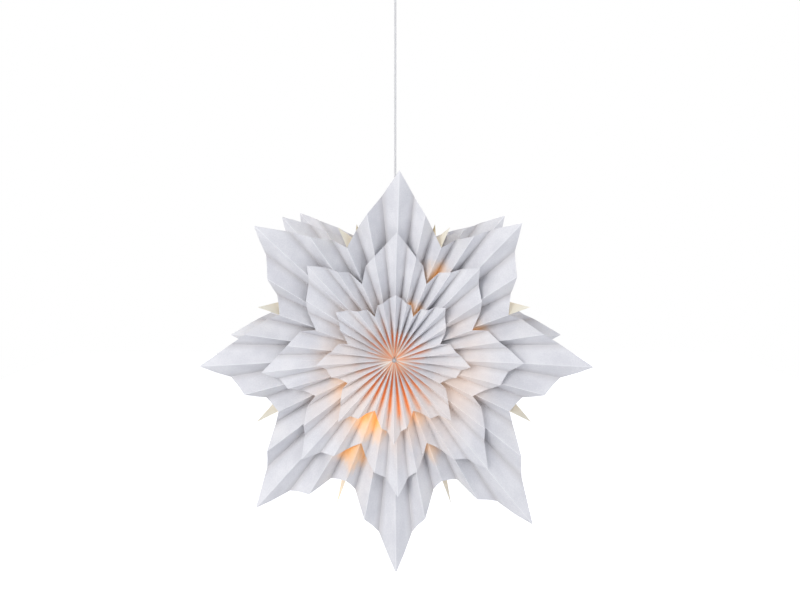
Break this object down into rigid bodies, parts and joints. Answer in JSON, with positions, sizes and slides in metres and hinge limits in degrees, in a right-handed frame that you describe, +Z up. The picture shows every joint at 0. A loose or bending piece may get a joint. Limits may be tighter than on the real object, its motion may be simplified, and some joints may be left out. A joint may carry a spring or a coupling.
{
  "type": "pleated paper star pendant light",
  "caption": "Hanging pendant light: a pointed star of pleated white paper in stepped layers, lit from inside, on a straight cord with a ceiling cup.",
  "frame": {"origin": "middle of the ceiling face of the plate, between its two screw holes", "axes": "+Z up into the ceiling; the star's face looks along -Y; the screw holes lie along X"},
  "size_m": [0.7, 0.3166, 1.23],
  "materials": {
    "paper": "matt",
    "gusset_paper": "matt",
    "hub_white": "matt",
    "spreader_wire": "drawn wire",
    "grip_plastic": "matt",
    "cord_white": "matt",
    "holder_white": "satin",
    "insert_ceramic": "glazed",
    "contact_brass": "plain",
    "lamp_glass": "warm, lit",
    "cap_metal": "rolled",
    "lamp_stem": "clear",
    "plate_steel": "zinc plated",
    "cup_white": "satin",
    "block_plastic": "matt"
  },
  "bodies": {
    "ceiling": {"ceiling_plate": "plate_steel", "ceiling_hook": "plate_steel", "hook_nut": "plate_steel", "ceiling_cup": "cup_white", "cup_screw_front": "plate_steel", "cup_screw_rear": "plate_steel", "terminal_block": "block_plastic"},
    "ring": {"hanger_ring": "plate_steel"},
    "drop": {"cord_grip": "grip_plastic", "cord": "cord_white", "holder_gland": "holder_white", "holder_cap": "holder_white", "shade_ring": "holder_white", "holder_shell": "holder_white", "holder_insert": "insert_ceramic", "holder_contact": "contact_brass"},
    "star": {"front_small_tier": "paper", "front_medium_tier": "paper", "front_large_tier": "paper", "middle_large_tier": "paper", "rear_large_tier": "paper", "rear_medium_tier": "paper", "rear_small_tier": "paper", "front_gusset_1": "gusset_paper", "front_gusset_2": "gusset_paper", "front_gusset_3": "gusset_paper", "front_gusset_4": "gusset_paper", "front_gusset_5": "gusset_paper", "front_gusset_6": "gusset_paper", "front_gusset_7": "gusset_paper", "front_gusset_8": "gusset_paper", "rear_gusset_1": "gusset_paper", "rear_gusset_2": "gusset_paper", "rear_gusset_3": "gusset_paper", "rear_gusset_4": "gusset_paper", "rear_gusset_5": "gusset_paper", "rear_gusset_6": "gusset_paper", "rear_gusset_7": "gusset_paper", "rear_gusset_8": "gusset_paper", "front_hub": "hub_white", "rear_hub": "hub_white", "wire_spreader": "spreader_wire"},
    "bulb": {"bulb_glass": "lamp_glass", "bulb_cap": "cap_metal", "bulb_contact": "contact_brass", "bulb_stem": "lamp_stem"}
  },
  "joints": [
    {"name": "ring_swing", "type": "hinge", "parent": "ceiling", "child": "ring", "pos_m": [0, 0, -0.025], "axis": [1, 0, 0], "range_deg": [-8, 8]},
    {"name": "cord_swing", "type": "hinge", "parent": "ring", "child": "drop", "pos_m": [0, 0, -0.0372], "axis": [0, 1, 0], "range_deg": [-8, 8]},
    {"name": "star_turn", "type": "hinge", "parent": "drop", "child": "star", "pos_m": [0, 0, -0.88], "axis": [0, 0, 1], "continuous": true},
    {"name": "bulb_unscrew", "type": "slide", "parent": "drop", "child": "bulb", "axis": [0, 0, -1], "range_m": [0, 0.024]}
  ]
}
